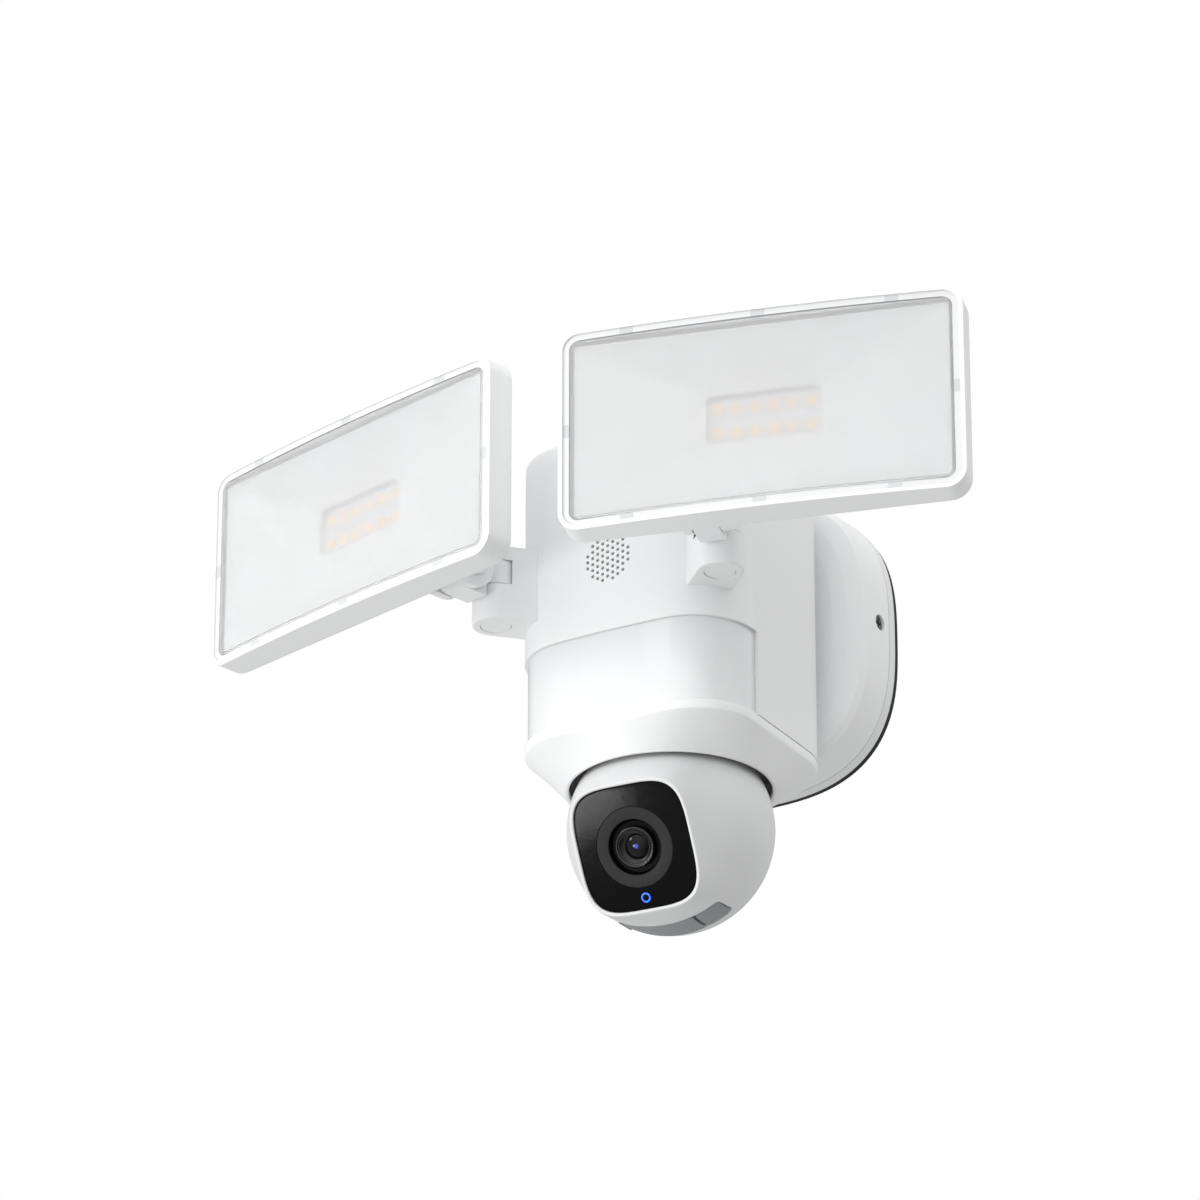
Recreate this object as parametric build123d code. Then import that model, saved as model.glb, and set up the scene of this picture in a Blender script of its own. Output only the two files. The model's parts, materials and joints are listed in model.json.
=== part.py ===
from build123d import *
import math
import os

# Wall-mounted floodlight security camera, in millimetres.
# Origin: centre of the wall plate on the wall plane. -Y points away from the wall,
# +X to the right of a viewer who faces the wall, +Z up.

# Wall base, all outlines are superellipses
BASE_POWER = 2.88
GASKET_HALF, GASKET_INNER, GASKET_DEPTH = 58.2, 52.2, 3.0
PLATE_HALF, PLATE_FRONT = 58.9, 8.1
HOUSING_BACK_HALF, HOUSING_BACK = 58.9, 8.4
HOUSING_HALF, HOUSING_EDGE = 58.1, 23.0
RING_HALF, RING_DEPTH = 56.15, 25.0
HOUSING_WALL = 2.6
BOX_SCREW_SPACING, BOX_SLOT_LENGTH, BOX_SLOT_WIDTH = 88.9, 9.0, 5.0
CABLE_BORE = 9.5
SIDE_SCREW_Z, SIDE_SCREW_Y = 1.5, -15.0

# Column that carries the lights and the camera
COLUMN_HALF, COLUMN_BACK, COLUMN_FRONT = 47.3, -27.2, -122.2
COLUMN_CORNER, COLUMN_CROWN = 25.9, 2.96
COLUMN_TOP, SEAM_Z, COLUMN_WALL = 52.0, -64.0, 2.6
WINDOW_TOP, WINDOW_END, WINDOW_RECESS = -30.5, -92.5, 1.2
GRILLE_Z, GRILLE_RADIUS, GRILLE_PITCH, GRILLE_HOLE = -1.0, 9.4, 2.5, 0.68
DECK_Z, DECK_THICKNESS = -50.0, 3.0

# Collar below the column, round lip around the camera ball
COLLAR_EDGE_Z, LIP_Z, LIP_RADIUS, LIP_OUTER = -68.2, -78.7, 38.1, 39.8

# Light hinges on the front corners of the column
HINGE_X, HINGE_Y, HINGE_RADIUS = 48.2, -122.7, 9.0
BRACKET_BOTTOM, BRACKET_TOP = -18.5, 11.0
SLOT_BOTTOM, SLOT_TOP, SLOT_RADIUS = -4.5, 5.5, 9.8
PIN_RADIUS, PIN_CLEARANCE = 2.5, 0.06

# Light panels, in a panel frame: origin at the middle of the front face, front towards -Y
PANEL_X, PANEL_Y, PANEL_Z, PANEL_YAW = 89.06, -167.2, 21.3, 15.05
PANEL_WIDTH, PANEL_HEIGHT, PANEL_CORNER = 152.6, 81.7, 8.0
PANEL_BACK, PANEL_WALL, FRAME_WIDTH, FRONT_RADIUS = 16.05, 2.0, 1.7, 962.0
SEAL_WIDTH, LENS_THICKNESS = 2.4, 1.6
RECESS_WIDTH, RECESS_HEIGHT = 43.5, 19.7
LED_COLUMNS, LED_ROWS, LED_PITCH_X, LED_PITCH_Z, LED_SIZE = 6, 2, 7.0, 9.7, 3.5
TILT_AHEAD, TILT_RADIUS = 20.0, 10.5
BARREL_LENGTH, EAR_THICKNESS, EAR_GAP = 10.0, 3.4, 0.4

# Camera ball, in a head frame: origin at the centre, lens towards -Y
BALL_Y, BALL_Z, BALL_RADIUS, BALL_WALL = -74.9, -94.8, 39.0, 2.4
HEAD_PAN, HEAD_TILT = 3.8, 30.0
NOSE_FRONT, NOSE_HALF_X, NOSE_HALF_Z, NOSE_CORNER = 36.2, 23.9, 24.7, 13.4
NOSE_ROOT, NOSE_ROOT_RADIUS = 19.9, 33.4
FACE_FRONT, FACE_HALF_X, FACE_HALF_Z, FACE_CORNER = 35.9, 22.6, 23.4, 12.2
SHELL_SPLIT = 17.0
BEZEL_RADIUS, BEZEL_INNER, LENS_TUBE, LENS_GLASS = 15.2, 10.5, 7.6, 4.8
MIC_HEIGHT, STATUS_DROP, STATUS_OUTER, STATUS_INNER = 18.7, 19.1, 2.05, 1.15
NECK_RADIUS, NECK_SLOT_HALF, NECK_SLOT_FRONT, NECK_SLOT_BACK = 6.5, 7.6, 95.0, 171.0
PATCH_HALF, PATCH_NEAR, PATCH_FAR, PATCH_SPLIT, PATCH_TILT = 21.0, -6.4, 7.7, 11.0, 25.0
FLAP_X, FLAP_DROP, BEAD_RADIUS, BEAD_HALF = -20.3, 33.0, 0.75, 4.5
AXLE_RADIUS = 3.0


def rod(start, end, radius):
    """Solid cylinder between two points."""
    axis = Vector(*end) - Vector(*start)
    return extrude(Plane(origin=start, z_dir=axis) * Circle(radius), axis.length)


def tube(start, end, outer, inner):
    """Cylinder with a bore right through it."""
    return rod(start, end, outer) - rod(start, end, inner)


def block(low, high):
    """Box between two corners."""
    size = [high[axis] - low[axis] for axis in range(3)]
    middle = [(high[axis] + low[axis]) / 2 for axis in range(3)]
    return Pos(*middle) * Box(*size)


def slab(width, height, corner, front, back, x=0.0, z=0.0):
    """Rounded rectangle seen from the front, solid from depth front to depth back."""
    rear = Plane(origin=(x, back, z), x_dir=(1, 0, 0), z_dir=(0, -1, 0))
    return extrude(rear * RectangleRounded(width, height, corner), back - front)


def squircle(half, depth):
    """Superellipse face parallel to the wall, at a depth in front of it."""
    points = []
    for step in range(40):
        turn = 2 * math.pi * step / 40
        across, up = math.cos(turn), math.sin(turn)
        x = half * math.copysign(abs(across) ** (2 / BASE_POWER), across)
        z = half * math.copysign(abs(up) ** (2 / BASE_POWER), up)
        points.append((x, -depth, z))
    return Face(Wire([Edge.make_spline([Vector(*point) for point in points], periodic=True)]))


def squircle_solid(*sections):
    """Ruled solid through superellipses, each given as (half width, depth)."""
    return loft([squircle(half, depth) for half, depth in sections], ruled=True)


def cross_recess(centre, direction, size):
    """Cross-shaped driver recess at a screw head."""
    plane = Plane(origin=centre, z_dir=direction)
    cross = Rectangle(size, size * 0.28) + Rectangle(size * 0.28, size)
    return extrude(plane * cross, 1.2, both=True)


# ---------------------------------------------------------------- wall base

def wall_gasket():
    """Foam ring pressed between the plate's rim and the wall."""
    ring = squircle_solid((GASKET_HALF, 0), (GASKET_HALF + 0.3, GASKET_DEPTH))
    return ring - squircle_solid((GASKET_INNER, -1), (GASKET_INNER, GASKET_DEPTH + 1))


def mounting_plate():
    """Pan-shaped plate screwed to the junction box, with lugs for the side screws."""
    plate = squircle_solid((52, 0), (52, 5.4))
    plate += squircle_solid((PLATE_HALF - 0.3, 3), (PLATE_HALF, PLATE_FRONT))
    plate -= squircle_solid((49.6, 2.2), (49.6, 9))
    plate -= squircle_solid((56.3, 5.4), (56.3, 9))
    for side in (-1, 1):
        slot = Plane(origin=(side * BOX_SCREW_SPACING / 2, 1, 0), x_dir=(1, 0, 0), z_dir=(0, -1, 0))
        plate -= extrude(slot * SlotOverall(BOX_SLOT_LENGTH, BOX_SLOT_WIDTH), 8, both=True)
        low_x, high_x = sorted((side * 52.4, side * 54.9))
        lug = block((low_x, -20.0, SIDE_SCREW_Z - 8), (high_x, -5.0, SIDE_SCREW_Z + 8))
        hole_start = (side * 50, SIDE_SCREW_Y, SIDE_SCREW_Z)
        plate += lug - rod(hole_start, (side * 58, SIDE_SCREW_Y, SIDE_SCREW_Z), 1.8)
    return plate - rod((0, 1, 0), (0, -6, 0), 13.0)


def cable_grommet():
    """Rubber grommet for the supply cable, flanged on the inner side."""
    body = rod((0, 0, 0), (0, -2.2, 0), 13.0) + rod((0, -2.2, 0), (0, -3.8, 0), 15.0)
    return body - rod((0, 1, 0), (0, -5, 0), CABLE_BORE)


def rear_housing():
    """Cover over the plate: tapered side wall, chamfered ring and a shallow domed front."""
    outer = squircle_solid((HOUSING_BACK_HALF, HOUSING_BACK), (HOUSING_HALF, HOUSING_EDGE))
    outer += squircle_solid((HOUSING_HALF, HOUSING_EDGE), (RING_HALF, RING_DEPTH))
    outer += squircle_solid((RING_HALF, RING_DEPTH), (50, RING_DEPTH + 1.5), (44, -COLUMN_BACK))
    inner = squircle_solid((HOUSING_BACK_HALF - HOUSING_WALL, HOUSING_BACK - 1),
                           (HOUSING_HALF - HOUSING_WALL, HOUSING_EDGE - 0.6))
    shell = outer - inner - rod((0, -15, 0), (0, -30, 0), 9.0)
    for side in (-1, 1):
        start = (side * 54, SIDE_SCREW_Y, SIDE_SCREW_Z)
        shell -= rod(start, (side * 60, SIDE_SCREW_Y, SIDE_SCREW_Z), 1.9)
        shell -= rod((side * 56.9, SIDE_SCREW_Y, SIDE_SCREW_Z), (side * 60, SIDE_SCREW_Y, SIDE_SCREW_Z), 3.2)
    for x, z in column_screw_places():
        shell -= rod((x, -18, z), (x, -30, z), 1.7)
    return shell


def side_screws():
    """Two cross-recess screws that hold the cover on the plate's lugs."""
    screws = []
    for side in (-1, 1):
        seat = (side * 57.6, SIDE_SCREW_Y, SIDE_SCREW_Z)
        head = rod(seat, (side * 57.0, SIDE_SCREW_Y, SIDE_SCREW_Z), 3.1)
        shank = rod(seat, (side * 51.5, SIDE_SCREW_Y, SIDE_SCREW_Z), 1.75)
        screws.append(head + shank - cross_recess(seat, (side, 0, 0), 3.6))
    return Compound(screws)


def terminal_block():
    """Three-way mains terminal block on the plate, beside the grommet."""
    body = block((-13, -11, -34), (13, -2.2, -22))
    for x in (-8, 0, 8):
        body -= rod((x, -12, -25.5), (x, -7, -25.5), 2.0)
        body -= rod((x, -5.5, -35), (x, -5.5, -27), 1.6)
    return body


def power_board():
    """Supply board behind the cover, with its transformer, capacitors and inductor."""
    board = block((-38, -18.4, 18), (38, -16.8, 46))
    parts = board + block((-30, -22, 24), (-12, -18.4, 42)) + block((-4, -21.8, 26), (8, -18.4, 38))
    for x in (16, 26, 33):
        parts += rod((x, -18.4, 32), (x, -21.9, 32), 3.6)
    return parts


# ---------------------------------------------------------------- column

def column_plan(inset, z):
    """Rounded square, crowned at the front, drawn at a height and shrunk by an inset."""
    half, front, back = COLUMN_HALF - inset, COLUMN_FRONT + inset, COLUMN_BACK - inset
    shoulder = front + COLUMN_CROWN
    crown = ThreePointArc((-half, shoulder), (0, front), (half, shoulder))
    sides = Polyline((half, shoulder), (half, back), (-half, back), (-half, shoulder))
    face = make_face(crown + sides)
    return Pos(0, 0, z) * fillet(face.vertices(), COLUMN_CORNER - inset)


def column_block(inset, low, high):
    """The column's plan as a solid between two heights."""
    return extrude(column_plan(inset, low), high - low)


def column_screw_places():
    """Screws that join the rear housing to the column's back."""
    return [(x, z) for x in (-14, 14) for z in (-34, 8)]


def grille_holes():
    """Hexagonal pattern of speaker holes inside a circle on the front."""
    holes = []
    reach = int(GRILLE_RADIUS / GRILLE_PITCH) + 2
    for column in range(-reach, reach + 1):
        for row in range(-reach, reach + 1):
            x = column * GRILLE_PITCH * math.sqrt(3) / 2
            z = (row + (column % 2) / 2) * GRILLE_PITCH
            if math.hypot(x, z) < GRILLE_RADIUS:
                place = Pos(x, 0, GRILLE_Z + z)
                holes.append(place * rod((0, COLUMN_FRONT - 2, 0), (0, COLUMN_FRONT + 4, 0), GRILLE_HOLE))
    return holes


def column_shell():
    """Main housing: hollow column, open below, cut out at the front for the sensor window."""
    outer = column_block(0, SEAM_Z, COLUMN_TOP)
    outer = fillet(outer.faces().sort_by(Axis.Z)[-1].edges(), 2.0)
    shell = outer - column_block(COLUMN_WALL, SEAM_Z - 1, COLUMN_TOP - COLUMN_WALL)
    shell -= block((-60, -130, SEAM_Z - 1), (60, WINDOW_END, WINDOW_TOP))
    shell -= rod((0, COLUMN_BACK + 2, 0), (0, COLUMN_BACK - 5, 0), 9.0)
    for x, z in column_screw_places():
        shell -= rod((x, COLUMN_BACK + 2, z), (x, COLUMN_BACK - 5, z), 1.3)
    return shell - grille_holes()


def column_screws():
    """Four screws driven from inside the rear housing into the column."""
    screws = []
    for x, z in column_screw_places():
        shank = rod((x, -22.4, z), (x, COLUMN_BACK - 4.5, z), 1.3)
        head = rod((x, -20.4, z), (x, -22.4, z), 2.8)
        screws.append(shank + head - cross_recess((x, -20.4, z), (0, 1, 0), 3.2))
    return Compound(screws)


def motion_window():
    """Milky band that wraps round the front of the column, set back from its surface."""
    band = column_block(WINDOW_RECESS, SEAM_Z + 0.05, WINDOW_TOP - 0.05)
    band -= column_block(COLUMN_WALL, SEAM_Z - 1, WINDOW_TOP + 1)
    return band & block((-60, -130, -70), (60, WINDOW_END - 0.05, -20))


def motion_sensor_places():
    """Outlooks of the heat sensors: x, y and the angle they face, from straight ahead."""
    return [(-30.0, -107.0, -45.0), (0.0, -114.0, 0.0), (30.0, -107.0, 45.0)]


def motion_sensor_board():
    """Carrier behind the window: a bar with two wings turned outwards."""
    bar = block((-24, -111.6, -47), (24, -110, -33))
    for side in (-1, 1):
        wing = Pos(side * 29.5, -106, -40) * Rot(0, 0, side * 45) * Box(15, 1.6, 14)
        bar += wing
    return bar


def motion_sensors():
    """Three round heat-sensor cans."""
    cans = []
    for x, y, angle in motion_sensor_places():
        facing = Pos(x, y, -40) * Rot(0, 0, angle)
        cans.append(facing * Rot(90, 0, 0) * Pos(0, 0, 1.6) * Cylinder(4.1, 3.2))
    return Compound(cans)


def speaker_driver():
    """Loudspeaker behind the grille: frame ring, cone and magnet."""
    frame = rod((0, -118.0, GRILLE_Z), (0, -114.5, GRILLE_Z), 15.0)
    frame += rod((0, -114.5, GRILLE_Z), (0, -107, GRILLE_Z), 8.5)
    cone = Plane(origin=(0, -118.0, GRILLE_Z), z_dir=(0, 1, 0))
    return frame - loft([cone * Circle(12.0), cone.offset(2.6) * Circle(4.0)])


def main_board():
    """Control board with its processor shield, radio module and connectors."""
    board = block((-36, -92, -38), (36, -90.4, 44))
    return board + block((-14, -95.5, 4), (14, -92, 30)) + block((18, -94.5, -26), (32, -92, -6)) + \
        block((-32, -90.4, -30), (-12, -84, -24))


def deck():
    """Bearing plate that closes the column above the ball and carries the pan hub."""
    plate = column_block(COLUMN_WALL, DECK_Z, DECK_Z + DECK_THICKNESS)
    return plate - rod((0, BALL_Y, DECK_Z - 1), (0, BALL_Y, DECK_Z + 5), 9.06)


def pan_motor():
    """Geared motor on posts above the deck, its shaft down into the pan hub."""
    top = DECK_Z + DECK_THICKNESS
    can = rod((0, BALL_Y, top + 6), (0, BALL_Y, top + 24), 14.0)
    shaft = rod((0, BALL_Y, top + 6), (0, BALL_Y, top - 4.5), 2.45)
    feet = []
    for side in (-1, 1):
        feet.append(rod((side * 19, BALL_Y, top), (side * 19, BALL_Y, top + 8), 2.5))
    flange = block((-21.5, BALL_Y - 5, top + 6), (21.5, BALL_Y + 5, top + 8))
    return can + shaft + flange + feet


def collar():
    """Skirt below the column: upright band, then a surface that runs in to the round lip."""
    band = column_block(0, COLLAR_EDGE_Z, SEAM_Z - 0.35)
    skirt = loft([column_plan(0, COLLAR_EDGE_Z), Pos(0, BALL_Y, LIP_Z) * Circle(LIP_OUTER)])
    axis = (0, BALL_Y)
    cavity = rod((*axis, COLLAR_EDGE_Z), (*axis, SEAM_Z + 1), 44.2)
    cavity += loft([Pos(*axis, LIP_Z + 1.5) * Circle(38.6), Pos(*axis, COLLAR_EDGE_Z) * Circle(44.2)])
    return band + skirt - cavity - rod((*axis, LIP_Z - 1), (*axis, LIP_Z + 2), LIP_RADIUS)


# ---------------------------------------------------------------- light hinges, right side

def hinge_bracket():
    """Lug on the column's corner: a barrel on a square root, slotted for the arm."""
    outline = Circle(HINGE_RADIUS) + Pos(-13, 0) * Rectangle(26, 2 * HINGE_RADIUS)
    foot = Pos(HINGE_X, HINGE_Y, BRACKET_BOTTOM) * Rot(0, 0, -45) * outline
    lug = extrude(foot, BRACKET_TOP - BRACKET_BOTTOM)
    lug = fillet(lug.faces().sort_by(Axis.Z)[0].edges(), 0.8)
    lug -= column_block(0, SEAM_Z, COLUMN_TOP)
    lug -= rod((HINGE_X, HINGE_Y, SLOT_BOTTOM), (HINGE_X, HINGE_Y, SLOT_TOP), SLOT_RADIUS)
    lug -= rod((HINGE_X, HINGE_Y, BRACKET_BOTTOM - 1), (HINGE_X, HINGE_Y, BRACKET_TOP - 1.6), PIN_RADIUS)
    return lug - rod((HINGE_X, HINGE_Y, BRACKET_BOTTOM - 1), (HINGE_X, HINGE_Y, BRACKET_BOTTOM + 1.2), 6.0)


def hinge_pin():
    """Upright pin through both lugs and the arm's knuckle."""
    return rod((HINGE_X, HINGE_Y, BRACKET_BOTTOM + 1.2), (HINGE_X, HINGE_Y, BRACKET_TOP - 1.7), PIN_RADIUS)


def hinge_cap():
    """Round cap that closes the pin hole from below."""
    cap = rod((HINGE_X, HINGE_Y, BRACKET_BOTTOM + 1.15), (HINGE_X, HINGE_Y, BRACKET_BOTTOM + 0.15), 5.85)
    return fillet(cap.faces().sort_by(Axis.Z)[0].edges(), 0.3)


def panel_place():
    """Location of the right-hand panel frame."""
    return Pos(PANEL_X, PANEL_Y, PANEL_Z) * Rot(0, 0, PANEL_YAW)


def knuckle_in_panel():
    """The hinge axis, seen in the panel frame: across and depth."""
    turn = math.radians(PANEL_YAW)
    across, depth = HINGE_X - PANEL_X, HINGE_Y - PANEL_Y
    x = across * math.cos(turn) + depth * math.sin(turn)
    return x, depth * math.cos(turn) - across * math.sin(turn)


def tilt_point(across):
    """Point on the tilt axis, which runs straight ahead of the upright hinge."""
    hinge_x, hinge_y = knuckle_in_panel()
    return (hinge_x + across, hinge_y - TILT_AHEAD, -PANEL_Z)


def barrel_rod(radius, half_length):
    """Cylinder on the tilt axis, in the panel frame."""
    return rod(tilt_point(-half_length), tilt_point(half_length), radius)


def light_arm():
    """Arm from the upright hinge to the tilt barrel, bored at both ends."""
    x, y = knuckle_in_panel()
    low, high = SLOT_BOTTOM + 0.3 - PANEL_Z, SLOT_TOP - 0.3 - PANEL_Z
    half, reach = BARREL_LENGTH / 2, TILT_RADIUS - 0.2
    arm = rod((x, y, low), (x, y, high), HINGE_RADIUS - 0.2)
    arm += block((x - half, y - TILT_AHEAD, low), (x + half, y, high))
    arm += block((x - half, y - TILT_AHEAD, -PANEL_Z - reach),
                 (x + half, y - HINGE_RADIUS - 0.9, -PANEL_Z + reach))
    arm += barrel_rod(reach, half)
    arm -= rod((x, y, low - 1), (x, y, high + 1), PIN_RADIUS + PIN_CLEARANCE)
    return arm - barrel_rod(PIN_RADIUS + PIN_CLEARANCE, BARREL_LENGTH)


# ---------------------------------------------------------------- light panel, panel frame

def front_cylinder(offset):
    """Everything behind the panel's convex front, set back by an offset."""
    return Pos(0, FRONT_RADIUS + offset, 0) * Cylinder(FRONT_RADIUS, 200)


def behind_front(solid, offset):
    """Trim a slab to the convex front."""
    return solid & front_cylinder(offset)


def light_housing():
    """White tray with the frame edge, and two ears behind for the tilt pin."""
    tray = slab(PANEL_WIDTH, PANEL_HEIGHT, PANEL_CORNER, -1, PANEL_BACK)
    tray = fillet(tray.faces().sort_by(Axis.Y)[-1].edges(), 3.0)
    pocket = slab(PANEL_WIDTH - 2 * FRAME_WIDTH, PANEL_HEIGHT - 2 * FRAME_WIDTH, PANEL_CORNER - FRAME_WIDTH,
                  -5, PANEL_BACK - PANEL_WALL)
    tray = behind_front(tray, 0) - pocket
    for side in (-1, 1):
        inner = side * (BARREL_LENGTH / 2 + EAR_GAP)
        outer = inner + side * EAR_THICKNESS
        ear = rod(tilt_point(inner), tilt_point(outer), TILT_RADIUS)
        low, high = tilt_point(min(inner, outer)), tilt_point(max(inner, outer))
        tray += ear + block((low[0], PANEL_BACK, low[2] - TILT_RADIUS),
                            (high[0], high[1], high[2] + TILT_RADIUS))
    tray -= barrel_rod(PIN_RADIUS, BARREL_LENGTH)
    for x, z in panel_screw_places():
        tray -= rod((x, PANEL_BACK - 4, z), (x, PANEL_BACK + 1, z), 1.6)
    return tray


def panel_screw_places():
    """Screws that hold the heat spreader from behind."""
    return [(x, z) for x in (-50, 50) for z in (-24, 24)]


def light_screws():
    """Four cross-recess screws in the panel's back."""
    screws = []
    for x, z in panel_screw_places():
        head = rod((x, PANEL_BACK, z), (x, PANEL_BACK + 1.2, z), 3.0)
        shank = rod((x, PANEL_BACK, z), (x, PANEL_BACK - PANEL_WALL - 1.0, z), 1.55)
        screws.append(head + shank - cross_recess((x, PANEL_BACK + 1.2, z), (0, 1, 0), 3.4))
    return Compound(screws)


def window_width(inset):
    """Opening of the panel, less an inset all round: width, height and corner."""
    inside = FRAME_WIDTH + inset
    return PANEL_WIDTH - 2 * inside, PANEL_HEIGHT - 2 * inside, PANEL_CORNER - inside


def light_seal():
    """Grey weather seal in the channel between frame and lens."""
    outer, inner = window_width(0.0), window_width(SEAL_WIDTH)
    ring = slab(*outer, -2, 4.6) - slab(*inner, -3, 6)
    return behind_front(ring, 0.7)


def light_lens():
    """Frosted cover: a raised field with a thinner lip all round that meets the seal."""
    field = behind_front(slab(*window_width(SEAL_WIDTH + 1.1), -2, 6), 0.25)
    lip = behind_front(slab(*window_width(SEAL_WIDTH), -2, 6), 0.9)
    return (field + lip) - front_cylinder(0.25 + LENS_THICKNESS)


def funnel(front_width, front_height, front, back_width, back_height, back):
    """Four-sided taper between two rectangles at two depths."""
    mouth = front_plane(-front) * Rectangle(front_width, front_height)
    return loft([mouth, front_plane(-back) * Rectangle(back_width, back_height)])


def light_reflector():
    """Four-sided white reflector that narrows to the board's recess."""
    mouth_width, mouth_height = window_width(SEAL_WIDTH + 1.6)[:2]
    front, rim, throat, back = 5.2, 6.2, 8.7, 11.2
    outer = slab(mouth_width, mouth_height, 1.0, front, rim)
    outer += funnel(mouth_width - 1, mouth_height - 1, rim, RECESS_WIDTH + 3, RECESS_HEIGHT + 3, throat + 1.2)
    outer += slab(RECESS_WIDTH + 3, RECESS_HEIGHT + 3, 4, throat, back)
    inner = funnel(mouth_width - 2, mouth_height - 2, front, RECESS_WIDTH, RECESS_HEIGHT, throat)
    return outer - inner - slab(RECESS_WIDTH, RECESS_HEIGHT, 3.0, throat - 0.1, back + 1)


def light_board():
    """Aluminium-backed board with a plug."""
    board = slab(62, 32, 2, 11.3, 12.6)
    return board + block((24, 10.2, -14), (29, 11.3, -6))


def light_chips():
    """Two rows of emitters."""
    chips = []
    for column in range(LED_COLUMNS):
        for row in range(LED_ROWS):
            x = (column - (LED_COLUMNS - 1) / 2) * LED_PITCH_X
            z = (row - (LED_ROWS - 1) / 2) * LED_PITCH_Z
            chips.append(slab(LED_SIZE, LED_SIZE, 0.4, 10.5, 11.3, x, z))
    return Compound(chips)


def heat_spreader():
    """Aluminium plate between the board and the tray's back, tapped for the screws."""
    plate = slab(124, 64, 5, 12.6, PANEL_BACK - PANEL_WALL)
    for x, z in panel_screw_places():
        plate -= rod((x, 12, z), (x, 15, z), 1.6)
    return plate


def tilt_pin():
    """Pin through the ears and the arm's barrel, with a domed head at each end."""
    reach = BARREL_LENGTH / 2 + EAR_GAP + EAR_THICKNESS
    pin = barrel_rod(PIN_RADIUS, reach)
    for side in (-1, 1):
        knob = rod(tilt_point(side * reach), tilt_point(side * (reach + 2.0)), 6.2)
        pin += fillet(knob.faces().sort_by(Axis.X)[0 if side < 0 else -1].edges(), 1.2)
    return pin


# ---------------------------------------------------------------- camera turret

def pan_neck():
    """Turning disc under the deck, its hub above and the neck down to the tilt axle."""
    axis = (0, BALL_Y)
    disc = rod((*axis, DECK_Z - 2.7), (*axis, DECK_Z - 0.4), 34.0)
    hub = rod((*axis, DECK_Z - 0.4), (*axis, DECK_Z + DECK_THICKNESS + 0.3), 9.0)
    neck = rod((*axis, DECK_Z - 2.7), (*axis, BALL_Z), NECK_RADIUS)
    cross = Pos(0, BALL_Y, BALL_Z) * Rot(0, 0, HEAD_PAN)
    knuckle = cross * (rod((-9, 0, 0), (9, 0, 0), 7.0) - rod((-10, 0, 0), (10, 0, 0), AXLE_RADIUS))
    bore = rod((*axis, DECK_Z - 2), (*axis, DECK_Z + 5), 2.5)
    solid = disc + hub + neck - bore
    return solid - cross * rod((-10, 0, 0), (10, 0, 0), AXLE_RADIUS) + knuckle


def pan_lock_ring():
    """Ring snapped on the hub above the deck, which keeps the turret from dropping."""
    low = DECK_Z + DECK_THICKNESS + 0.3
    return tube((0, BALL_Y, low), (0, BALL_Y, low + 1.6), 12.5, 2.6)


def tilt_axle():
    """Cross axle of the ball, fixed in the neck."""
    return Pos(0, BALL_Y, BALL_Z) * Rot(0, 0, HEAD_PAN) * rod((-27, 0, 0), (20, 0, 0), AXLE_RADIUS)


# ---------------------------------------------------------------- camera head, head frame

def head_place():
    """Location of the head frame at rest."""
    return Pos(0, BALL_Y, BALL_Z) * Rot(0, 0, HEAD_PAN) * Rot(HEAD_TILT, 0, 0)


def front_plane(depth):
    """Plane square to the lens axis, at a distance in front of the ball's centre."""
    return Plane(origin=(0, -depth, 0), x_dir=(1, 0, 0), z_dir=(0, -1, 0))


def nose(shrink):
    """Ball whose front runs out to a rounded square, shrunk by a wall thickness."""
    root = front_plane(NOSE_ROOT - shrink / 2) * Circle(NOSE_ROOT_RADIUS - shrink)
    half_x, half_z = NOSE_HALF_X - shrink, NOSE_HALF_Z - shrink
    tip = front_plane(NOSE_FRONT) * RectangleRounded(2 * half_x, 2 * half_z, NOSE_CORNER - shrink)
    return Sphere(BALL_RADIUS - shrink) + loft([root, tip])


def neck_slot():
    """Slot over the top of the ball that lets the neck pass while the head tilts."""
    start = Plane(origin=(NECK_SLOT_HALF, 0, 0), x_dir=(0, -1, 0), z_dir=(-1, 0, 0))
    corners = [(0, 0)]
    for angle in (NECK_SLOT_FRONT, (NECK_SLOT_FRONT + NECK_SLOT_BACK) / 2, NECK_SLOT_BACK):
        turn = math.radians(angle)
        corners.append((70 * math.cos(turn), 70 * math.sin(turn)))
    wedge = extrude(start * make_face(Polyline(*corners, corners[0])), 2 * NECK_SLOT_HALF)
    return wedge - Sphere(BALL_RADIUS - BALL_WALL - 3)


def patch_place():
    """Frame under the ball whose -Z points out through the rubber cover and +Y runs back along it."""
    return Rot(-PATCH_TILT, 0, 0)


def port_patch(grow, low_x, high_x):
    """Prism under the ball that outlines the rubber cover and the button beside it."""
    width = high_x - low_x + 2 * grow
    depth = PATCH_FAR - PATCH_NEAR + 2 * grow
    middle = Pos((low_x + high_x) / 2, -(PATCH_FAR + PATCH_NEAR) / 2, -60)
    return patch_place() * middle * extrude(RectangleRounded(width, depth, 2.2), 40)


def head_front_shell():
    """Front of the ball with the squared nose, axle bosses and the port recess."""
    shell = nose(0) - nose(BALL_WALL)
    shell -= slab(2 * FACE_HALF_X, 2 * FACE_HALF_Z, FACE_CORNER, -40, -30)
    shell &= block((-60, -60, -60), (60, SHELL_SPLIT, 60))
    shell += tube((-37.5, 0, 0), (-15, 0, 0), 7.0, AXLE_RADIUS + PIN_CLEARANCE)
    shell -= neck_slot()
    shell -= port_patch(0.15, -PATCH_HALF, PATCH_HALF) - Sphere(BALL_RADIUS - 1.5)
    shell -= flap_bead(BEAD_RADIUS + 0.12)
    shell -= button_stem(0.3)
    return shell


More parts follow.
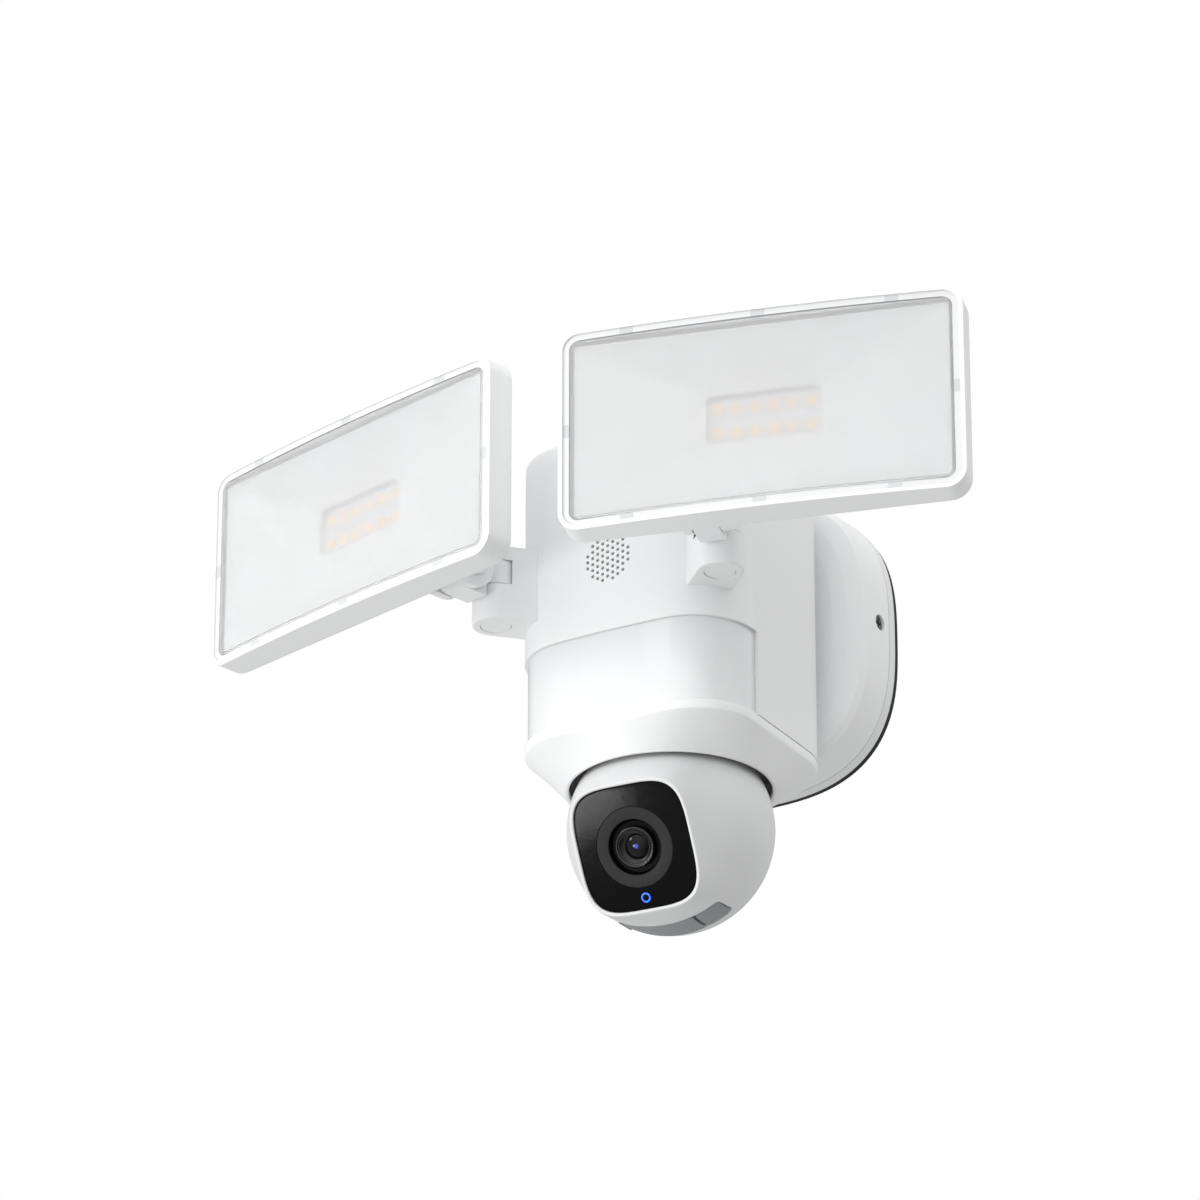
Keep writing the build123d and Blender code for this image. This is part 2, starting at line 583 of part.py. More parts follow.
def head_rear_shell():
    """Rear cap of the ball, behind the split."""
    cap = Sphere(BALL_RADIUS) - Sphere(BALL_RADIUS - BALL_WALL)
    cap &= block((-60, SHELL_SPLIT + 0.1, -60), (60, 60, 60))
    return cap - neck_slot()


def face_plate():
    """Dark front plate with openings for the lens, microphone and status light."""
    plate = slab(2 * FACE_HALF_X - 0.1, 2 * FACE_HALF_Z - 0.1, FACE_CORNER,
                 -FACE_FRONT, -FACE_FRONT + 2.2)
    plate -= rod((0, -40, 0), (0, -30, 0), BEZEL_RADIUS + 0.05)
    plate -= rod((0, -40, MIC_HEIGHT), (0, -30, MIC_HEIGHT), 0.6)
    return plate - rod((0, -40, -STATUS_DROP), (0, -30, -STATUS_DROP), STATUS_OUTER + 0.02)


def lens_bezel():
    """Matt ring in the plate with a cone that runs in to the lens tube."""
    ring = tube((0, -33.7, 0), (0, -FACE_FRONT + 0.1, 0), BEZEL_RADIUS, 8.3)
    cone = loft([front_plane(FACE_FRONT - 0.1) * Circle(BEZEL_INNER), front_plane(33.6) * Circle(8.4)])
    return ring - cone + tube((0, -33.7, 0), (0, -31.5, 0), 12.0, 7.8)


def lens_tube():
    """Lens barrel: stepped mouth, then the thread down to the sensor."""
    body = rod((0, -23.5, 0), (0, -FACE_FRONT - 0.2, 0), LENS_TUBE)
    body -= loft([front_plane(FACE_FRONT + 0.2) * Circle(6.6), front_plane(FACE_FRONT - 2.4) * Circle(LENS_GLASS)])
    return body - rod((0, -FACE_FRONT + 2.4, 0), (0, -22, 0), LENS_GLASS)


def lens_glass():
    """Front element with a domed face."""
    disc = rod((0, -FACE_FRONT + 5.6, 0), (0, -FACE_FRONT - 2.0, 0), LENS_GLASS - 0.02)
    return disc & (Pos(0, -FACE_FRONT + 9.4, 0) * Sphere(8.2))


def image_board():
    """Camera board with the sensor and its socket."""
    board = slab(32, 30, 2, -22.4, -21.0)
    return board + slab(9, 8, 0.4, -23.4, -22.4) + block((-8, -21.0, -12), (8, -18.4, -8))


def status_ring():
    """Ring-shaped light guide below the lens."""
    low, high = (0, -33.6, -STATUS_DROP), (0, -FACE_FRONT - 0.05, -STATUS_DROP)
    return tube(low, high, STATUS_OUTER, STATUS_INNER)


def tilt_motor():
    """Geared motor in the ball: it holds the fixed axle and turns the shell."""
    can = rod((10.0, 0, 0), (28, 0, 0), 12.0) + block((24, -17, -4), (26, 17, 4))
    return can - rod((9, 0, 0), (21, 0, 0), AXLE_RADIUS + PIN_CLEARANCE)


def flap_bead(radius):
    """Cylinder on the hinge line of the rubber cover, at its left-hand end."""
    return patch_place() * rod((FLAP_X, -BEAD_HALF, -FLAP_DROP), (FLAP_X, BEAD_HALF, -FLAP_DROP), radius)


def port_cover():
    """Rubber cover of the card slot, flush with the ball, with a rolled bead that it opens on."""
    patch = port_patch(-0.15, FLAP_X + 0.15, PATCH_SPLIT - 0.6)
    skin = patch & (Sphere(BALL_RADIUS + 0.15) - Sphere(BALL_RADIUS - 1.3))
    return skin + flap_bead(BEAD_RADIUS)


def button_stem(grow):
    """Round stem of the sync button, or the hole for it when grown."""
    x, back = (PATCH_HALF + PATCH_SPLIT) / 2, -(PATCH_FAR + PATCH_NEAR) / 2
    return patch_place() * rod((x, back, -34.5), (x, back, -28 + grow), 2.0 + grow)


def sync_button():
    """Key beside the cover, with a stem that reaches the switch inside."""
    skin = Sphere(BALL_RADIUS + 0.15) - Sphere(BALL_RADIUS - 0.6)
    key = port_patch(-0.25, PATCH_SPLIT, PATCH_HALF) & skin
    return key + (button_stem(0.0) & Sphere(BALL_RADIUS - 0.3))


# ---------------------------------------------------------------- writing the pieces

BASE_PIECES = {
    "wall_gasket": wall_gasket, "mounting_plate": mounting_plate, "cable_grommet": cable_grommet,
    "rear_housing": rear_housing, "side_screws": side_screws, "terminal_block": terminal_block,
    "power_board": power_board, "column_shell": column_shell, "column_screws": column_screws,
    "motion_window": motion_window, "motion_sensor_board": motion_sensor_board,
    "motion_sensors": motion_sensors, "speaker_driver": speaker_driver, "main_board": main_board,
    "bearing_deck": deck, "pan_motor": pan_motor, "collar": collar,
}
HINGE_PIECES = {"hinge_bracket": hinge_bracket, "hinge_pin": hinge_pin, "hinge_cap": hinge_cap}
PANEL_PIECES = {
    "light_arm": light_arm, "light_housing": light_housing, "light_screws": light_screws,
    "light_seal": light_seal, "light_lens": light_lens, "light_reflector": light_reflector,
    "light_board": light_board, "light_chips": light_chips, "heat_spreader": heat_spreader,
    "tilt_pin": tilt_pin,
}
TURRET_PIECES = {"pan_neck": pan_neck, "pan_lock_ring": pan_lock_ring, "tilt_axle": tilt_axle}
HEAD_PIECES = {
    "head_front_shell": head_front_shell, "head_rear_shell": head_rear_shell, "face_plate": face_plate,
    "lens_bezel": lens_bezel, "lens_tube": lens_tube, "lens_glass": lens_glass,
    "image_board": image_board, "status_ring": status_ring, "tilt_motor": tilt_motor,
    "port_cover": port_cover, "sync_button": sync_button,
}


def write(name, shape):
    """One STEP file for each piece."""
    export_step(Compound(list(shape.solids())), f"parts/{name}.step")


def write_pair(name, shape):
    """The right-hand piece and its mirror image."""
    write(f"right_{name}", shape)
    write(f"left_{name}", mirror(shape, about=Plane.YZ))


def main():
    """Build every piece in its place."""
    os.makedirs("parts", exist_ok=True)
    for name, make in {**BASE_PIECES, **TURRET_PIECES}.items():
        write(name, make())
    for name, make in HINGE_PIECES.items():
        write_pair(name, make())
    for name, make in PANEL_PIECES.items():
        write_pair(name, panel_place() * make())
    for name, make in HEAD_PIECES.items():
        write(name, head_place() * make())


main()
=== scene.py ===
import json
import math

import bmesh
import bpy
import numpy as np
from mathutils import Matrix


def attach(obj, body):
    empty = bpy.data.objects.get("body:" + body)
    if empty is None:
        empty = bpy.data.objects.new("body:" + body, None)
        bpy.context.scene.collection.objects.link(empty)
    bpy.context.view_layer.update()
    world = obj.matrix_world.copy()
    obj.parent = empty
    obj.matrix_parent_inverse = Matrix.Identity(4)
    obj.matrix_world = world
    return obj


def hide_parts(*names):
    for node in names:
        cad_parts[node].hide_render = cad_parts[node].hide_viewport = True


MM = 0.001

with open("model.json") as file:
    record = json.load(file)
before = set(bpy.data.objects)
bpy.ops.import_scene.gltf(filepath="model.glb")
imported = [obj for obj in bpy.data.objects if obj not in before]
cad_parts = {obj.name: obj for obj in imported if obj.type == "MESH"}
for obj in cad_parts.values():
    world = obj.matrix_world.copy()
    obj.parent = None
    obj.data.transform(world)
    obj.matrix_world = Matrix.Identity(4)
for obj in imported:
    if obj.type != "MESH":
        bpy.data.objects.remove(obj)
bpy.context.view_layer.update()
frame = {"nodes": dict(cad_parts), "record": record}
nodes = frame["nodes"]

# Places that the CAD part settles, in millimetres
COLUMN_HALF, COLUMN_BACK, COLUMN_FRONT = 47.3, -27.2, -122.2
COLUMN_CORNER, COLUMN_CROWN, COLUMN_SEAM = 25.9, 2.96, -64.0
COLLAR_EDGE, LIP_BOTTOM, LIP_RADIUS, LIP_OUTER = -68.2, -78.7, 38.1, 39.8
EDGE_ROUND = 0.35
BALL_CENTRE, BALL_RADIUS = np.array([0.0, -74.9, -94.8]), 39.0
HEAD_PAN, HEAD_TILT = math.radians(3.8), math.radians(30.0)
SHELL_SPLIT, SHELL_WALL = 17.0, 2.4
PLATE_FRONT, PLATE_HALF_X, PLATE_HALF_Z, PLATE_POWER = 35.9, 22.6, 23.4, 4.0
RIM_FRONT, RIM_WIDTH, LIP_START = 36.2, 1.3, 33.0
PORT_HALF, PORT_BACK, PORT_FRONT, PORT_CORNER, PORT_TILT = 21.0, -6.4, 7.7, 2.2, math.radians(25.0)
PORT_DEPTH, PORT_GAP, PORT_SOFT = 1.45, 0.15, 0.3
NECK_NOTCH, NECK_END = math.radians(12.2), math.radians(95.0)
LENS_OPENING, PLATE_DOME, PLATE_STAND = 15.26, 0.0008, 0.12
MICROPHONE_UP, STATUS_UP = 18.7, -19.1
CAVITY_RADIUS = 44.2
# place of the painted violet glint on the front glass, in the head frame, millimetres
PAINTED_GLINT_PLACE = (0.5, -35.55, 0.2)
EMITTER_STEP, EMITTER_ROW = 7.0, 4.85
CLIP_STEP, CLIP_HALF, LONG_SIDE_HALF = 50.0, 2.6, 60.0
PANEL_MIDDLE, PANEL_YAW = np.array([89.06, -167.2, 21.3]), math.radians(15.05)


# ---------------------------------------------------------------- meshes

def grid_faces(rows, columns, wrap_rows, wrap_columns):
    """Quads of a grid of points, as an array of vertex numbers, wrapped round where asked."""
    row = np.arange(rows if wrap_rows else rows - 1)[:, None]
    column = np.arange(columns if wrap_columns else columns - 1)[None, :]
    next_row, next_column = (row + 1) % rows, (column + 1) % columns
    corners = [row * columns + column, row * columns + next_column,
               next_row * columns + next_column, next_row * columns + column]
    return np.stack([corner.ravel() for corner in corners], axis=1)


def surface(name, points, wrap_rows=False, wrap_columns=False, sharp=30.0):
    """Mesh object from a grid of points in millimetres: doubles merged, faces outwards, smooth
    below an angle."""
    rows, columns = points.shape[:2]
    mesh = bpy.data.meshes.new(name)
    quads = grid_faces(rows, columns, wrap_rows, wrap_columns)
    mesh.from_pydata((points.reshape(-1, 3) * MM).tolist(), [], quads.tolist())
    work = bmesh.new()
    work.from_mesh(mesh)
    bmesh.ops.remove_doubles(work, verts=work.verts, dist=1e-6)
    bmesh.ops.recalc_face_normals(work, faces=work.faces)
    work.to_mesh(mesh)
    work.free()
    mesh.shade_smooth()
    mesh.set_sharp_from_angle(angle=math.radians(sharp))
    piece = bpy.data.objects.new(name, mesh)
    bpy.context.scene.collection.objects.link(piece)
    return piece


def head_to_world(points):
    """Head frame (across, towards the back, up from the ball's centre) to the object's frame."""
    cos_pan, sin_pan = math.cos(HEAD_PAN), math.sin(HEAD_PAN)
    cos_tilt, sin_tilt = math.cos(HEAD_TILT), math.sin(HEAD_TILT)
    across = np.array([cos_pan, sin_pan, 0.0])
    backwards = np.array([-sin_pan * cos_tilt, cos_pan * cos_tilt, sin_tilt])
    upwards = np.array([sin_pan * sin_tilt, -cos_pan * sin_tilt, cos_tilt])
    return BALL_CENTRE + points @ np.stack([across, backwards, upwards])


def turned(name, profile, up=0.0, segments=160, sharp=25.0):
    """Ring turned about the lens axis: a closed profile of (radius, distance ahead) swept round a circle."""
    profile = np.array(profile, float)
    turn = np.linspace(0, 2 * math.pi, segments, endpoint=False)[None, :]
    radius, ahead = profile[:, 0][:, None], profile[:, 1][:, None]
    points = np.stack([radius * np.cos(turn), -ahead + 0 * turn, up + radius * np.sin(turn)], axis=2)
    return surface(name, head_to_world(points), wrap_rows=True, wrap_columns=True, sharp=sharp)


def superellipse_radius(turn, half_x, half_z, power):
    """Distance from the middle to a superellipse: (|cos|/a)^n + (|sin|/b)^n, to the power -1/n."""
    total = np.abs(np.cos(turn) / half_x) ** power + np.abs(np.sin(turn) / half_z) ** power
    return total ** (-1.0 / power)


# ---------------------------------------------------------------- camera ball

def from_top(turn):
    """Angle between a turn about the lens axis and straight up, from 0 to pi."""
    return np.abs((turn - math.pi / 2 + math.pi) % (2 * math.pi) - math.pi)


def ball_front():
    """Front shell of the ball. In each half-plane through the lens axis the outside runs from the
    rim of the squared face along the line that touches the sphere, then along the sphere to the
    split; the inside is the same curve shrunk by the wall. Recessed under the port cover."""
    bottom = -math.pi / 2
    dense = np.radians(np.arange(-44, 44.01, 0.6)) + bottom
    sparse = np.radians(np.arange(46, 314.01, 1.5)) + bottom
    turn = np.concatenate([dense, sparse])
    notch = NECK_NOTCH
    edges = math.pi / 2 + np.array([-notch - 1e-4, -notch, notch, notch + 1e-4])
    turn = np.sort(np.concatenate([turn[np.abs(from_top(turn) - notch) > 1e-3], edges]))
    split = math.acos(-SHELL_SPLIT / BALL_RADIUS)
    end = np.where(from_top(turn) <= notch + 1e-6, NECK_END, split)

    inner_edge = superellipse_radius(turn, PLATE_HALF_X, PLATE_HALF_Z, PLATE_POWER)
    rim = superellipse_radius(turn, PLATE_HALF_X + RIM_WIDTH, PLATE_HALF_Z + RIM_WIDTH, PLATE_POWER)
    reach = np.hypot(rim, RIM_FRONT)
    rim_polar = np.arctan2(rim, RIM_FRONT)
    touch = rim_polar + np.arccos(BALL_RADIUS / reach)

    # polar angles of the outside: rounded rim first, then the straight run and the sphere
    fan = np.concatenate([np.linspace(0.0, 0.20, 10), np.linspace(0.20, 0.58, 100)[1:],
                          np.linspace(0.58, 1.0, 32)[1:]])
    polar = rim_polar[None, :] + fan[:, None] * (end - rim_polar)[None, :]
    line = BALL_RADIUS / np.cos(np.clip(touch[None, :] - polar, 0.0, None))
    distance = np.where(polar < touch[None, :], line, BALL_RADIUS)
    outer_r, outer_d = distance * np.sin(polar), distance * np.cos(polar)
    x, z = outer_r * np.cos(turn)[None, :], outer_r * np.sin(turn)[None, :]

    # recess below the port cover: depth follows the distance to a rounded rectangle
    middle, half = (PORT_BACK + PORT_FRONT) / 2, (PORT_FRONT - PORT_BACK) / 2
    gap_x = np.abs(x) - (PORT_HALF + PORT_GAP - PORT_CORNER)
    along = outer_d * math.cos(PORT_TILT) + z * math.sin(PORT_TILT)
    gap_y = np.abs(along - middle) - (half + PORT_GAP - PORT_CORNER)
    beyond = np.hypot(np.maximum(gap_x, 0), np.maximum(gap_y, 0))
    outside = beyond + np.minimum(np.maximum(gap_x, gap_y), 0) - PORT_CORNER
    below = np.clip(0.5 - outside / PORT_SOFT, 0, 1) * (z < 0)
    sink = PORT_DEPTH * below * below * (3 - 2 * below)
    scale = (distance - sink) / distance
    outer_r, outer_d = outer_r * scale, outer_d * scale

    lip = [(inner_edge, LIP_START), (inner_edge, RIM_FRONT - 0.45), (inner_edge + 0.15, RIM_FRONT - 0.12),
           (inner_edge + 0.45, RIM_FRONT), (rim - 0.45, RIM_FRONT + 0.02), (rim - 0.18, RIM_FRONT - 0.04)]
    lip_r = np.stack([r + 0 * turn for r, _ in lip])
    lip_d = np.stack([d + 0 * turn for _, d in lip])
    outer_r[0] -= 0.03
    outer_d[0] -= 0.18
    inside = np.linspace(1.0, 0.0, 30)[:, None]
    inner_start = np.arctan2(inner_edge, LIP_START)
    inner_polar = inner_start[None, :] + inside * (end - inner_start)[None, :]
    inner_radius = BALL_RADIUS - SHELL_WALL
    inner_line = inner_radius / np.cos(np.clip(touch[None, :] - inner_polar, 0.0, None))
    reach_in = np.where(inner_polar < touch[None, :], inner_line, inner_radius)
    sideways = inner_edge[None, :] / np.maximum(np.sin(inner_polar), 1e-6)
    near_lip = np.minimum(reach_in, np.minimum(sideways, LIP_START / np.cos(inner_polar)))
    reach_in = np.where(inside < 0.12, near_lip, reach_in)
    r = np.concatenate([lip_r, outer_r, reach_in * np.sin(inner_polar)])
    d = np.concatenate([lip_d, outer_d, reach_in * np.cos(inner_polar)])
    points = np.stack([r * np.cos(turn)[None, :], -d, r * np.sin(turn)[None, :]], axis=2)
    return surface("ball_front", head_to_world(points), wrap_rows=True, wrap_columns=True, sharp=40.0)


def lens_barrel():
    """Lens barrel: turned profile with a rounded outer lip, two fine steps and a cone down to the glass."""
    profile = [(4.9, 28.0), (4.9, 33.9), (5.3, 34.0), (5.35, 34.25), (6.0, 34.6), (6.35, 35.0), (6.4, 35.3),
               (6.75, 35.35), (6.8, 35.85), (7.0, 36.05), (7.3, 36.1), (7.5, 36.0), (7.6, 35.8), (7.6, 28.0)]
    return turned("lens_barrel", profile)


def front_glass():
    """Front element: a spherical dome on a short edge, closed behind."""
    rim_radius, rise, rim_ahead = 4.85, 1.7, 33.9
    curve = (rim_radius ** 2 + rise ** 2) / (2 * rise)
    half = math.asin(rim_radius / curve)
    angle = np.linspace(half, 0.0, 24)
    dome = np.stack([curve * np.sin(angle), rim_ahead + rise - curve * (1 - np.cos(angle))], axis=1)
    back = np.array([[0.0, rim_ahead - 2.0], [rim_radius, rim_ahead - 2.0]])
    return turned("front_glass", np.concatenate([dome, back]), segments=96)


def status_light():
    """Light guide of the status ring: turned, with a gently rounded face."""
    profile = [(1.25, 34.0), (1.25, 36.0), (1.35, 36.07), (1.55, 36.1), (1.77, 36.07), (1.87, 36.0),
               (1.87, 34.0)]
    return turned("status_light", profile, up=STATUS_UP, segments=64)


def microphone_eyelet():
    """Tiny eyelet round the microphone hole above the lens: turned, rounded on top."""
    profile = [(0.30, 35.2), (0.30, 35.93), (0.36, 35.99), (0.48, 36.01), (0.60, 35.99), (0.66, 35.93),
               (0.66, 35.2)]
    return turned("microphone_eyelet", profile, up=MICROPHONE_UP, segments=32)


def lens_surround():
    """Matt ring round the lens: a hairline gap to the plate, a flat face, and a cone down to the floor."""
    profile = [(15.2, 34.4), (15.2, 35.75), (15.05, 35.92), (14.9, 35.95), (10.85, 35.95), (10.6, 35.88),
               (10.45, 35.65), (9.6, 33.7), (7.75, 33.6), (7.75, 31.6), (12.0, 31.6), (12.0, 34.4)]
    return turned("lens_surround", profile)


def dark_plate():
    """Face plate of the ball: superellipse slab, slightly domed, its edge rounded over, open round the lens.
    Its front stands back by the dome times (r squared less the opening squared), and by the rounding."""
    turn = np.linspace(0, 2 * math.pi, 240, endpoint=False)
    edge = superellipse_radius(turn, PLATE_HALF_X - 0.06, PLATE_HALF_Z - 0.06, PLATE_POWER)
    hole = LENS_OPENING
    steps = np.array([0.0, 0.0, 0.2, 0.4, 0.6, 0.8, 0.94, 0.975, 0.992, 1.0, 1.0, 0.0])[:, None]
    drop = np.array([1.6, 0.0, 0.0, 0.0, 0.0, 0.0, 0.0, 0.03, 0.10, 0.28, 1.6, 1.6])[:, None]
    r = hole + steps * (edge[None, :] - hole)
    d = PLATE_FRONT + PLATE_STAND - drop - PLATE_DOME * (r ** 2 - hole ** 2) * (drop < 1.5)
    points = np.stack([r * np.cos(turn)[None, :], -d, r * np.sin(turn)[None, :]], axis=2)
    return surface("dark_plate", head_to_world(points), wrap_rows=True, wrap_columns=True, sharp=40.0)


# ---------------------------------------------------------------- collar

def column_outline(count):
    """Points round the column's plan by equal turns about the ball's axis: straight sides, crowned
    front and round corners, found as the nearest of many points walked along that outline."""
    half, corner = COLUMN_HALF, COLUMN_CORNER
    crown_radius = (half ** 2 + COLUMN_CROWN ** 2) / (2 * COLUMN_CROWN)
    crown_y = COLUMN_FRONT + crown_radius
    # front corner centre: touches the side and the crown from inside
    centre_x = half - corner
    centre_y = crown_y - math.sqrt((crown_radius - corner) ** 2 - centre_x ** 2)
    tangent = math.atan2(centre_x, crown_y - centre_y)
    front = np.linspace(-tangent, tangent, 200)
    front = np.stack([crown_radius * np.sin(front), crown_y - crown_radius * np.cos(front)], axis=1)
    sweep = np.linspace(-math.pi / 2 + tangent, 0, 200)
    front_right = np.stack([centre_x + corner * np.cos(sweep), centre_y + corner * np.sin(sweep)], axis=1)
    back_y = COLUMN_BACK - corner
    sweep = np.linspace(0, math.pi / 2, 200)
    back_right = np.stack([centre_x + corner * np.cos(sweep), back_y + corner * np.sin(sweep)], axis=1)
    mirror = np.array([-1.0, 1.0])
    walk = [front, front_right, back_right, back_right[::-1] * mirror, front_right[::-1] * mirror]
    closed = np.vstack(walk + [front[:1]])
    steps = np.linalg.norm(np.diff(closed, axis=0), axis=1)
    length = np.concatenate([[0], np.cumsum(steps)])
    turn = np.unwrap(np.arctan2(closed[:, 1] - BALL_CENTRE[1], closed[:, 0]))
    wanted = turn[0] + np.linspace(0, 2 * math.pi, count, endpoint=False)
    along = np.interp(wanted, turn, length)
    x, y = np.interp(along, length, closed[:, 0]), np.interp(along, length, closed[:, 1])
    return wanted, np.stack([x, y], axis=1)


def round_collar():
    """Collar: upright band on the column's outline, a rounded edge, then straight runs in to the round
    lip, blended by (1 - t) outline + t circle; the lip is rolled over and the cavity goes back up."""
    count = 360
    turn, outline = column_outline(count)
    axis = np.array([0.0, BALL_CENTRE[1]])
    circle = np.stack([np.cos(turn), np.sin(turn)], axis=1)
    towards = axis - outline
    towards = towards / np.linalg.norm(towards, axis=1)[:, None]
    top, edge = COLUMN_SEAM - 0.35, COLLAR_EDGE
    rows = []

    def row(plan, height):
        rows.append(np.column_stack([plan, np.full(count, height)]))

    row(axis + circle * CAVITY_RADIUS, top)
    row(outline + towards * 0.35, top)
    row(outline + towards * 0.1, top - 0.1)
    row(outline, top - 0.35)
    row(outline, edge + EDGE_ROUND)
    fall = np.column_stack([axis + circle * LIP_OUTER, np.full(count, LIP_BOTTOM)])
    brink = np.column_stack([outline, np.full(count, edge)])
    start = np.column_stack([outline, np.full(count, edge + EDGE_ROUND)])
    below = brink + (fall - brink) * 0.04
    for t in (0.25, 0.5, 0.75, 1.0):
        rows.append((1 - t) ** 2 * start + 2 * t * (1 - t) * brink + t * t * below)
    for t in np.linspace(0.04, 0.97, 16)[1:]:
        rows.append(brink + (fall - brink) * t)
    roll = [(LIP_OUTER, 0.1), (LIP_OUTER - 0.1, -0.25), (LIP_OUTER - 0.45, -0.42), (LIP_OUTER - 1.1, -0.40),
            (LIP_RADIUS + 0.2, -0.2), (LIP_RADIUS, 0.35), (LIP_RADIUS, 1.8), (LIP_RADIUS + 0.5, 1.9)]
    for radius, rise in roll:
        row(axis + circle * radius, LIP_BOTTOM + rise)
    row(axis + circle * CAVITY_RADIUS, edge)
    return surface("round_collar", np.stack(rows), wrap_rows=True, wrap_columns=True, sharp=35.0)


# ---------------------------------------------------------------- shader groups

class Nodes:
    """Short way to place and join shader nodes in a tree."""

    def __init__(self, tree):
        self.tree = tree
        tree.nodes.clear()

    def add(self, kind, inputs=None, **settings):
        node = self.tree.nodes.new(kind)
        for key, value in settings.items():
            setattr(node, key, value)
        for key, value in (inputs or {}).items():
            if isinstance(value, bpy.types.NodeSocket):
                self.tree.links.new(value, node.inputs[key])
            else:
                node.inputs[key].default_value = value
        return node

    def math(self, operation, first, second=0.0, third=0.0, clamp=False):
        node = self.add("ShaderNodeMath", {0: first, 1: second, 2: third}, operation=operation)
        node.use_clamp = clamp
        return node.outputs[0]

    def noise(self, vector, scale, detail=2.0, roughness=0.5):
        inputs = {"Vector": vector, "Scale": scale, "Detail": detail, "Roughness": roughness}
        return self.add("ShaderNodeTexNoise", inputs).outputs["Fac"]

    def span(self, value, low, high, to_low=0.0, to_high=1.0):
        return self.add("ShaderNodeMapRange", {0: value, 1: low, 2: high, 3: to_low, 4: to_high}).outputs[0]

    def feed(self, node, values):
        for key, value in values.items():
            self.tree.links.new(value, node.inputs[key])

    def grey(self, value):
        return self.add("ShaderNodeCombineColor", {0: value, 1: value, 2: value}).outputs[0]

    def bump(self, height, strength, distance, normal=None):
        inputs = {"Strength": strength, "Distance": distance, "Height": height}
        if normal:
            inputs["Normal"] = normal
        return self.add("ShaderNodeBump", inputs).outputs[0]

    def centred(self, value, spread, middle):
        """(value - 0.5) * spread + middle, for a noise that varies about a middle."""
        return self.math("MULTIPLY_ADD", self.math("SUBTRACT", value, 0.5), spread, middle)

    def blend(self, factor, first, second, mode="MIX"):
        node = self.add("ShaderNodeMix", {0: factor}, data_type="RGBA", blend_type=mode)
        for index, value in ((6, first), (7, second)):
            if isinstance(value, bpy.types.NodeSocket):
                self.tree.links.new(value, node.inputs[index])
            else:
                node.inputs[index].default_value = value
        return node.outputs[2]


def group(name, inputs, outputs, build):
    """Shader node group with named sockets; build(nodes, inputs by name) returns its outputs by name."""
    tree = bpy.data.node_groups.new(name, "ShaderNodeTree")
    nodes_in = Nodes(tree)
    for label, kind, value in inputs:
        socket = tree.interface.new_socket(label, in_out="INPUT", socket_type=kind)
        if value is not None:
            socket.default_value = value
    for label, kind in outputs:
        tree.interface.new_socket(label, in_out="OUTPUT", socket_type=kind)
    entry = tree.nodes.new("NodeGroupInput")
    leave = tree.nodes.new("NodeGroupOutput")
    made = build(nodes_in, entry.outputs)
    for label, socket in made.items():
        tree.links.new(socket, leave.inputs[label])
    return tree


def build_moulded(n, given):
    """Moulded plastic: fine spark-eroded grain, faint flow variation and a soft unevenness of gloss."""
    grain = n.noise(given["Vector"], given["Grain"], 3.0, 0.6)
    flow = n.noise(given["Vector"], 14.0, 2.0)
    gloss = n.noise(given["Vector"], 60.0, 3.0)
    tint = n.grey(n.centred(flow, given["Unevenness"], 1.0))
    edge = n.add("ShaderNodeBevel", {"Radius": given["Edge"]}, samples=4).outputs[0]
    return {"Colour": n.blend(1.0, given["Colour"], tint, "MULTIPLY"),
            "Roughness": n.centred(gloss, 0.10, given["Roughness"]),
            "Normal": n.bump(grain, 0.35, 0.00004, edge)}


def build_metal(n, given):
    """Metal finish: fine streaks along one way, cloudy tarnish and a matching change of gloss."""
    stretch = {"Vector": given["Vector"], "Scale": (1.0, 12.0, 1.0)}
    stretched = n.add("ShaderNodeMapping", stretch).outputs[0]
    streak = n.noise(stretched, 900.0, 2.0)
    cloud = n.noise(given["Vector"], 90.0, 4.0)
    return {"Colour": n.blend(1.0, given["Colour"], n.grey(n.centred(cloud, 0.35, 1.0)), "MULTIPLY"),
            "Roughness": n.centred(streak, 0.25, given["Roughness"]),
            "Normal": n.bump(streak, 0.3, 0.00004)}


def build_panel_place(n, given):
    """Coordinates in a light panel's own frame, millimetres: the same for both, because they mirror."""
    parts = n.add("ShaderNodeSeparateXYZ", {0: given["Vector"]}).outputs
    right_side = {0: n.math("ABSOLUTE", parts[0]), 1: parts[1], 2: parts[2]}
    folded = n.add("ShaderNodeCombineXYZ", right_side).outputs[0]
    middle = tuple(PANEL_MIDDLE * MM)
    moved = n.add("ShaderNodeVectorMath", {0: folded, 1: middle}, operation="SUBTRACT").outputs[0]
    turn_back = {"Vector": moved, "Angle": -PANEL_YAW}
    turned_back = n.add("ShaderNodeVectorRotate", turn_back, rotation_type="Z_AXIS").outputs[0]
    scaled = n.add("ShaderNodeVectorMath", {0: turned_back, "Scale": 1 / MM}, operation="SCALE").outputs[0]
    parts = n.add("ShaderNodeSeparateXYZ", {0: scaled}).outputs
    return {"Across": parts[0], "Depth": parts[1], "Up": parts[2]}


VECTOR, FLOAT, COLOUR = "NodeSocketVector", "NodeSocketFloat", "NodeSocketColor"
FINISH_IN = [("Vector", VECTOR, None), ("Colour", COLOUR, (0.8, 0.8, 0.8, 1)), ("Roughness", FLOAT, 0.4)]
FINISH_OUT = [("Colour", COLOUR), ("Roughness", FLOAT), ("Normal", VECTOR)]
moulded = group("moulded_plastic",
                FINISH_IN + [("Grain", FLOAT, 2500.0), ("Unevenness", FLOAT, 0.02), ("Edge", FLOAT, 0.0004)],
                FINISH_OUT, build_moulded)
metal = group("metal_finish", FINISH_IN, FINISH_OUT, build_metal)
panel_place = group("panel_place", [("Vector", VECTOR, None)],
                    [("Across", FLOAT), ("Depth", FLOAT), ("Up", FLOAT)], build_panel_place)


# ---------------------------------------------------------------- materials

